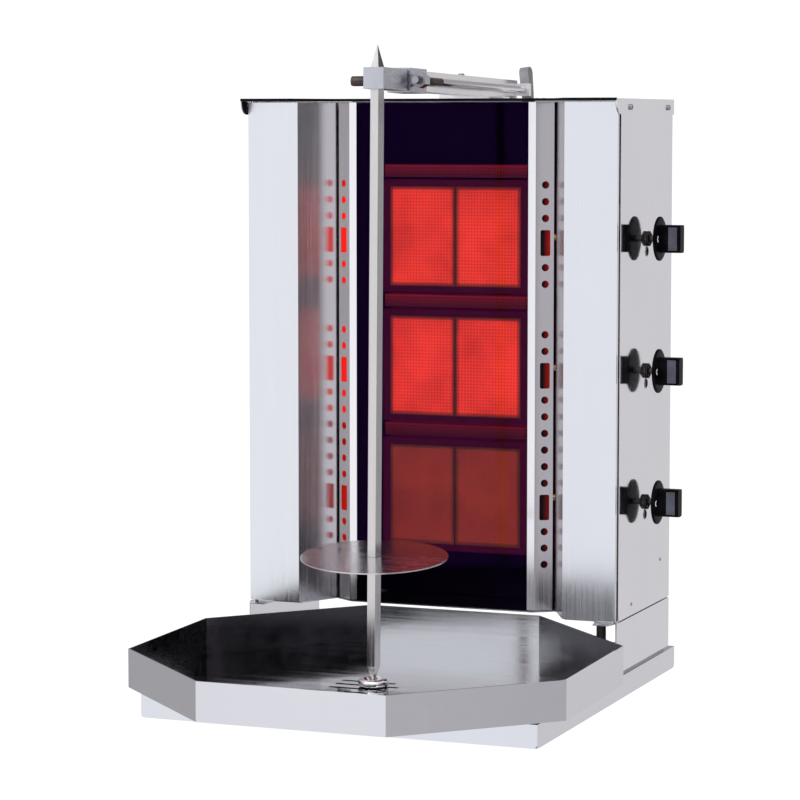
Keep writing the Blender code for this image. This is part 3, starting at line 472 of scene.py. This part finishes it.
CAD_LOOK = {
    "sheet_x": ["base_pan", "housing_floor"],
    "sheet_z": ["left_shield", "right_shield", "left_shield_lug", "right_shield_lug"],
    "sheet_y": ["left_leg", "right_leg", "left_side_panel", "right_side_panel", "top_cover", "housing_back"],
    "strip": ["left_vent_strip", "right_vent_strip"],
    "tray": ["drip_tray", "grease_pan"],
    "bar": ["spit_bar"],
    "disc": ["spit_disc"],
    "block": ["spit_head", "arm_collar"],
    "tube": ["arm_tube", "arm_spindle", "spindle_bearing"],
    "handle": ["t_handle"],
    "thread": ["head_lock_screw", "valve_stem_1", "valve_stem_2", "valve_stem_3", "disc_pin"],
    "screw": ["cover_screw_1", "cover_screw_2", "cover_screw_3", "cover_screw_4"],
    "zinc": ["base_bottom_cover", "bearing_bracket", "drive_motor", "drive_shaft", "motor_pulley"],
    "polished": ["drive_cup"],
    "bronze": ["drive_bearing", "spit_bush"],
    "brass": ["gas_manifold", "gas_valve_1", "gas_valve_2", "gas_valve_3"],
    "knob": ["knob_1", "knob_2", "knob_3"],
    "rubber": ["drive_belt", "motor_conduit"],
    "glass": ["glass_pane"],
    "case": ["burner_box_1", "burner_box_2", "burner_box_3"],
}
BEVELLED = [
    "top_cover", "left_side_panel", "right_side_panel", "left_leg", "right_leg", "left_shield",
    "right_shield", "drip_tray", "base_pan", "spit_bar", "spit_head", "arm_collar", "arm_tube", "t_handle",
    "spindle_bearing", "left_vent_strip", "right_vent_strip", "knob_1", "knob_2", "knob_3",
]


def dress(node, material):
    """Give a CAD node its finished material."""
    mesh = NODES[node].data
    mesh.materials.clear()
    mesh.materials.append(material)


def second_look(node, key, chosen):
    """Give the faces that pass a test a second material."""
    mesh = NODES[node].data
    mesh.materials.append(M[key])
    for face in mesh.polygons:
        if chosen(face):
            face.material_index = 1


def dress_frame():
    """Finish every CAD node, and soften the edges of the visible ones."""
    for key, nodes in CAD_LOOK.items():
        for node in nodes:
            dress(node, M[key])
    # the inner faces of the tray's left walls get a darker copy of the tray steel: painted shade
    second_look("drip_tray", "tray_dark", lambda face: face.center.x < 0 and face.normal.x > 0.5)
    # the shields' faces towards the glass get a darker copy of the shield steel: painted shade
    second_look("left_shield", "shield_inside", lambda face: face.normal.x > 0.3 and face.normal.y < -0.1)
    second_look("right_shield", "shield_inside", lambda face: face.normal.x < -0.3 and face.normal.y < -0.1)
    # the right strip's slanted flange with the vent holes gets a darker copy of the strip steel: painted
    # shade
    second_look("right_vent_strip", "flange", lambda face: face.normal.x > 0.3 and face.normal.y < -0.5)
    for number in BURNERS:
        glow, heat = HOT[number]
        for side in ("left", "right"):
            node = f"ceramic_plate_{side}_{number}"
            dress(node, ceramic(f"hot_{node}", node, glow, heat))
    for node in BEVELLED:
        bevel = NODES[node].modifiers.new("Bevel", "BEVEL")
        bevel.width = EDGE_BEVEL
        bevel.segments = 2
        bevel.limit_method = "ANGLE"
        bevel.angle_limit = math.radians(40)
        bevel.harden_normals = False


# ------------------------------------------------------------------ added pieces
def reflector_glow(name, centres, start, end, most):
    """Painted red glow standing in for the burners' reflected light: strongest level with each burner,
    growing across the sheet from start to end.
    """
    n = Nodes(name)
    x, _, z = n.axes()
    total = None
    for centre, strength in zip(centres, GLOW_LEVELS):
        gap = n.math("ABSOLUTE", n.math("SUBTRACT", z, centre))
        part = n.spread(gap, strength, 0.0, *GLOW_REACH)
        total = part if total is None else n.math("MAXIMUM", total, part)
    across = n.spread(x, 0.0, most, start, end)
    fine = n.noise((300.0, 300.0, 300.0))
    n.link(n.math("MULTIPLY", total, across), n.shader.inputs["Emission Strength"])
    n.link(n.spread(fine, 0.4, 0.7), n.shader.inputs["Roughness"])
    n.shader.inputs["Emission Color"].default_value = REFLECTOR_PAINTED_RED
    n.shader.inputs["Base Color"].default_value = (0.008, 0.003, 0.004, 1.0)
    n.shader.inputs["Specular IOR Level"].default_value = 0.1
    n.bump(fine, 0.2, 0.0002)
    return n.material


def side_reflectors():
    """Reflector sheets right behind the vent strips, seen through their holes, with painted burner glow on
    their fronts and black painted shade on their other faces.
    """
    low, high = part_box("right_vent_strip")
    centres = [sum(corner.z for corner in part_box(f"burner_box_{number}")) / 2 for number in BURNERS]
    inner = Vector((low.x + REFLECTOR_IN[0], low.y + REFLECTOR_IN[1]))
    outer = Vector((high.x + REFLECTOR_OUT[0], high.y + REFLECTOR_OUT[1]))
    back, tip = Vector(REFLECTOR_SHEET), high.y - REFLECTOR_TIP
    lip = outer.x + REFLECTOR_LIP
    outline = [inner, outer, Vector((outer.x, tip)), Vector((lip, tip)), Vector((lip, outer.y + back.y)),
               inner + back]
    start, end = low.z + REFLECTOR_SHORT, high.z - REFLECTOR_SHORT
    glows = {"left": reflector_glow("left_reflector_painted_glow", centres, 0.0, -0.01, 1.0),
             "right": reflector_glow("right_reflector_painted_glow", centres, inner.x + 0.0085, inner.x + 0.0160, 0.30)}
    for side, word in ((-1, "left"), (1, "right")):
        bm = bmesh.new()
        base = bm.faces.new([bm.verts.new((side * p.x, p.y, start)) for p in outline])
        moved = bmesh.ops.extrude_face_region(bm, geom=[base])["geom"]
        bmesh.ops.translate(bm, vec=(0, 0, end - start),
                            verts=[g for g in moved if isinstance(g, bmesh.types.BMVert)])
        obj = add_mesh(f"{word}_side_reflector", bm, glows[word], "root")
        obj.data.materials.append(M["shadow"])
        for face in obj.data.polygons:                      # only the front and the lip's inside carry the painted glow; the other faces are black painted shade
            if face.normal.y > -0.5 and face.normal.x * side > -0.5:
                face.material_index = 1


def inner_liner():
    """Black liner behind the burners: painted shade inside the housing."""
    low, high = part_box("burner_box_1")
    floor_top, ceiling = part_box("housing_floor")[1].z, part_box("top_cover")[1].z
    wide = abs(low.x) + LINER_MARGIN
    bm = bmesh.new()
    plate(bm, (-wide, high.y + LINER_Y[0], floor_top + LINER_ENDS[0]),
          (wide, high.y + LINER_Y[1], ceiling - LINER_ENDS[1]))
    add_mesh("back_liner", bm, M["liner"], "root")


def hood_look(number, start, end):
    """Dark sheet with rows of holes and a painted red glow that grows towards its upper edge."""
    n = Nodes(f"hood_{number}")
    x, _, z = n.axes()
    dots = n.math("MULTIPLY", n.cell(x, 0.35), n.cell(z, 0.35))
    rise = n.spread(z, 0.25, 1.0, start, end)
    level = n.math("MULTIPLY", n.math("MULTIPLY", dots, rise), HOOD_PAINTED_GLOW[number])
    n.link(level, n.shader.inputs["Emission Strength"])
    n.shader.inputs["Emission Color"].default_value = (0.85, 0.030, 0.050, 1.0)
    n.shader.inputs["Base Color"].default_value = (0.05, 0.01, 0.012, 1.0)
    n.bump(dots, 0.3, 0.0004)
    return n.constant(Roughness=0.6).material


def burner_hoods():
    """Hood over each burner, an angle of sheet with the burner glow it catches painted on as emission."""
    for number in BURNERS:
        low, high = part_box(f"burner_box_{number}")
        start, end = high.z + HOOD_Z[0], high.z + HOOD_Z[1]
        left, right = low.x + HOOD_INSET, high.x - HOOD_INSET
        front = low.y + HOOD_SHEET
        bm = bmesh.new()
        plate(bm, (left, front, start), (right, front + HOOD_SHEET, end))
        plate(bm, (left, front, end - HOOD_SHEET), (right, low.y + HOOD_DEPTH, end))
        add_mesh(f"burner_hood_{number}", bm, hood_look(number, start, end), "root")


def knob_details():
    """Grey inlays on each grip, a white mark on its skirt, a hex nut on its stem and its pilot port."""
    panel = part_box("right_side_panel")[1].x
    for number in BURNERS:
        low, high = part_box(f"knob_{number}")
        y, z = (low.y + high.y) / 2, (low.z + high.z) / 2
        body = f"knob_{number}_body"
        bm = bmesh.new()
        for side in (-1, 1):
            near, far = sorted((y + side * (GRIP_HALF - INLAY_SUNK), y + side * (GRIP_HALF + INLAY_THICK)))
            plate(bm, (high.x - INLAY_X[0], near, z - INLAY_HALF_Z),
                  (high.x - INLAY_X[1], far, z + INLAY_HALF_Z), INLAY_BEVEL)
        add_mesh(f"knob_inlay_{number}", bm, M["inlay"], body)

        bm = bmesh.new()
        ring(bm, (low.x + SKIRT_FACE, y - MARK_Y, z), (1, 0, 0), *MARK_RING, steps=20)
        add_mesh(f"knob_mark_{number}", bm, M["mark"], body, 40)

        bm = bmesh.new()
        ring(bm, (panel + NUT_GAP, y, z), (1, 0, 0), *NUT_RING, steps=6)
        add_mesh(f"valve_nut_{number}", bm, M["nut"], "root")

        bm = bmesh.new()
        ring(bm, (panel + PROUD, y, z - PORT_Z), (1, 0, 0), *PORT_RING, steps=28)
        add_mesh(f"port_rim_{number}", bm, M["screw"], "root", 40)


def panel_screws():
    """Rivets on the two side panels, bolts on the cover, and black painted shade in the recesses of the
    cover's screws.
    """
    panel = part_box("right_side_panel")[1].x
    bm = bmesh.new()
    for side in (-1, 1):
        for y, z in RIVETS:
            ring(bm, (side * (panel + PROUD), y, z), (side, 0, 0), *RIVET_HEAD, steps=16)
    add_mesh("panel_rivets", bm, M["screw"], "root", 40)

    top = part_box("top_cover")[1].z
    bm = bmesh.new()
    for x, y in BOLTS:
        ring(bm, (x, y, top + PROUD), (0, 0, 1), *BOLT_HEAD, steps=16)
    add_mesh("cover_bolts", bm, M["screw"], "root", 40)

    # black crosses in the cover screws' heads: painted shade in their recesses
    for number, side in ((1, -1), (2, -1), (3, 1), (4, 1)):
        low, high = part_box(f"cover_screw_{number}")
        y, z = (low.y + high.y) / 2, (low.z + high.z) / 2
        outer = low.x if side < 0 else high.x
        near, far = sorted((outer, outer + side * CROSS_DEEP))
        bm = bmesh.new()
        for half_y, half_z in ((CROSS_LONG, CROSS_WIDE), (CROSS_WIDE, CROSS_LONG)):
            plate(bm, (near, y - half_y, z - half_z), (far, y + half_y, z + half_z))
        add_mesh(f"screw_recess_{number}", bm, M["shadow"], "root")


def arm_details():
    """Threads on the spindle and the lock screw, and the screw on top of the arm."""
    arm = Vector(JOINTS["head_slide"]["axis"]).normalized()
    up = Vector(JOINTS["spit_spin"]["axis"]).normalized()
    axis_point = Vector(JOINTS["spindle_turn"]["pos_m"])
    start, length = SPINDLE_THREAD
    bm = bmesh.new()
    thread(bm, axis_point + arm * start, arm, length, *SPINDLE_RADII, THREAD_PITCH)
    add_mesh("spindle_thread", bm, M["thread"], "spindle_body", 30)

    low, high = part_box("head_lock_screw")
    centre = (low + high) / 2
    bm = bmesh.new()
    thread(bm, (low.x + LOCK_ENDS[0], centre.y, centre.z), (1, 0, 0), high.x - low.x - LOCK_ENDS[1],
           *LOCK_RADII, THREAD_PITCH)
    add_mesh("lock_screw_thread", bm, M["thread"], "head_body", 30)

    along, rise = TOP_SCREW
    top = axis_point + up * rise + arm * along - Vector((axis_point.x, 0, 0))
    bm = bmesh.new()
    ring(bm, top + up * PROUD, up, *TOP_SCREW_HEAD, steps=20)
    add_mesh("arm_top_screw", bm, M["screw"], "root", 40)


def cover_painted_shade():
    """Painted shade: a black strip along the cover's front outline, and black cheeks inside its side flanges.
    """
    low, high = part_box("top_cover")
    half = [(high.x - SHADE_STRIP_EDGE, low.y), *COVER_STEP]
    path = half + [(-x, y) for x, y in reversed(half)]
    top, bottom, seat = high.z + SHADE_STRIP_UP, high.z - SHADE_STRIP_DOWN, high.z + SHADE_STRIP_GAP
    section = [(-SHADE_STRIP_FRONT, bottom), (-SHADE_STRIP_FRONT, top), (SHADE_STRIP_BACK, top), (SHADE_STRIP_BACK, seat),
               (-SHADE_STRIP_SKIN, seat), (-SHADE_STRIP_SKIN, bottom)]
    bm = bmesh.new()
    rows = [[bm.verts.new((x, y + dy, z)) for dy, z in section] for x, y in path]
    for near, far in zip(rows, rows[1:]):
        for j in range(len(section)):
            k = (j + 1) % len(section)
            bm.faces.new((near[j], far[j], far[k], near[k]))
    bm.faces.new(rows[0])
    bm.faces.new(list(reversed(rows[-1])))

    cheek = [(low.y + y, high.z - CHEEK_TOP) for y in reversed(CHEEK_Y)]
    middle_y, middle_z, half_y, half_z = CHEEK_ARC
    for step in range(9):
        angle = math.pi + step * math.pi / 16
        cheek.append((low.y + middle_y + half_y * math.cos(angle),
                      low.z + middle_z + half_z * math.sin(angle)))
    for side in (-1, 1):
        inside = side * (high.x - CHEEK_INSIDE)
        faces = [[bm.verts.new((x, y, z)) for y, z in cheek] for x in (inside, inside - side * CHEEK_THICK)]
        bm.faces.new(faces[0])
        bm.faces.new(list(reversed(faces[1])))
        for i in range(len(cheek)):
            j = (i + 1) % len(cheek)
            bm.faces.new((faces[0][i], faces[1][i], faces[1][j], faces[0][j]))
    add_mesh("cover_painted_shade", bm, M["shadow"], "root")


# ------------------------------------------------------------------ set
def light_room():
    """Bright room in front and overhead, grey behind, with a grey screen and a dark corner on the right."""
    world = bpy.data.worlds.new("studio")
    bpy.context.scene.world = world
    world.use_nodes = True
    tree = world.node_tree
    tree.nodes.clear()
    link = tree.links.new

    def add(kind, **values):
        node = tree.nodes.new(kind)
        for key, value in values.items():
            setattr(node, key, value)
        return node

    split = add("ShaderNodeSeparateXYZ")
    link(add("ShaderNodeTexCoord").outputs["Generated"], split.inputs[0])

    def spread(name, start, end, low, high):
        node = add("ShaderNodeMapRange", interpolation_type="SMOOTHSTEP")
        for key, value in zip(("From Min", "From Max", "To Min", "To Max"), (start, end, low, high)):
            node.inputs[key].default_value = value
        link(split.outputs[name], node.inputs["Value"])
        return node.outputs["Result"]

    def tones(stops):
        node = add("ShaderNodeValToRGB")
        elements = node.color_ramp.elements
        while len(elements) < len(stops):
            elements.new(0.5)
        for element, (place, colour) in zip(elements, stops):
            element.position = (place + 1.0) / 2.0
            element.color = (*colour, 1.0)
        link(turn, node.inputs["Fac"])
        return node.outputs["Color"]

    def blend(factor, first, second):
        node = add("ShaderNodeMix", data_type="RGBA", blend_type="MIX")
        for key, value in (("Factor", factor), ("A", first), ("B", second)):
            if isinstance(value, tuple):
                node.inputs[key].default_value = value
            else:
                link(value, node.inputs[key])
        return node.outputs["Result"]

    def both(first, second):
        node = add("ShaderNodeMath", operation="MULTIPLY")
        link(first, node.inputs[0])
        link(second, node.inputs[1])
        return node.outputs[0]

    straight = add("ShaderNodeMapRange")
    straight.inputs["From Min"].default_value = -1.0
    link(split.outputs["Y"], straight.inputs["Value"])
    turn = straight.outputs["Result"]
    below, above = tones(ROOM_BELOW), tones(ROOM_ABOVE)
    across = both(spread("Y", *SCREEN_Y[0], 0.0, 1.0), spread("Y", *SCREEN_Y[1], 1.0, 0.0))
    screen = both(spread("X", *SCREEN_X, 0.0, 1.0), across)
    corner = both(spread("X", *CORNER_X, 0.0, 1.0), spread("Z", *CORNER_Z, 1.0, 0.0))
    lower = blend(screen, below, SCREEN_GREY)
    upper = blend(corner, above, CORNER_DARK)
    colour = blend(spread("Z", *EYE_LEVEL_Z, 0.0, 1.0), lower, upper)
    overhead = spread("Z", *OVERHEAD_Z, 1.0, OVERHEAD_LEVEL)
    room = add("ShaderNodeBackground")
    link(colour, room.inputs["Color"])
    link(overhead, room.inputs["Strength"])
    plain = add("ShaderNodeBackground")
    plain.inputs["Color"].default_value = (1.0, 1.0, 1.0, 1.0)
    plain.inputs["Strength"].default_value = BACKDROP_LEVEL
    path = add("ShaderNodeLightPath")
    mix = add("ShaderNodeMixShader")
    link(path.outputs["Is Camera Ray"], mix.inputs["Fac"])
    link(room.outputs[0], mix.inputs[1])
    link(plain.outputs[0], mix.inputs[2])
    link(mix.outputs[0], add("ShaderNodeOutputWorld").inputs["Surface"])


def floor():
    """Plain white floor under the machine."""
    bm = bmesh.new()
    bmesh.ops.create_circle(bm, cap_ends=True, radius=FLOOR_RADIUS, segments=64)
    mesh = bpy.data.meshes.new("floor")
    bm.to_mesh(mesh)
    bm.free()
    n = Nodes("white_floor")
    n.constant(Roughness=0.9, Base_Color=FLOOR_TONE)
    n.shader.inputs["Emission Color"].default_value = (1.0, 1.0, 1.0, 1.0)
    n.shader.inputs["Emission Strength"].default_value = FLOOR_GLOW
    mesh.materials.append(n.material)
    obj = bpy.data.objects.new("floor", mesh)
    bpy.context.scene.collection.objects.link(obj)
    obj.location.z = CAD_BOX[0][2] - FLOOR_DROP
    obj.visible_glossy = False


def soft_light(name, place, target, size, power):
    """One soft area light aimed at a point, with its power in watts."""
    data = bpy.data.lights.new(name, "AREA")
    data.size = size
    data.energy = power
    obj = bpy.data.objects.new(name, data)
    obj.location = place
    aim = Vector(target) - Vector(place)
    obj.rotation_euler = aim.to_track_quat("-Z", "Y").to_euler()
    bpy.context.scene.collection.objects.link(obj)


def camera():
    """The camera, front right of the machine and slightly above."""
    data = bpy.data.cameras.new("camera")
    data.lens = LENS
    data.sensor_width = SENSOR
    data.shift_y = SHIFT_Y
    data.clip_end = 50.0
    obj = bpy.data.objects.new("camera", data)
    obj.location = EYE
    obj.rotation_euler = EYE_TURN
    bpy.context.scene.collection.objects.link(obj)
    bpy.context.scene.camera = obj


dress_frame()
side_reflectors()
inner_liner()
burner_hoods()
knob_details()
panel_screws()
arm_details()
cover_painted_shade()
light_room()
floor()
soft_light("key", KEY_PLACE, KEY_TARGET, KEY_SIZE, KEY_POWER)
camera()
bpy.context.scene.view_settings.view_transform = "Standard"

bpy.context.view_layer.update()
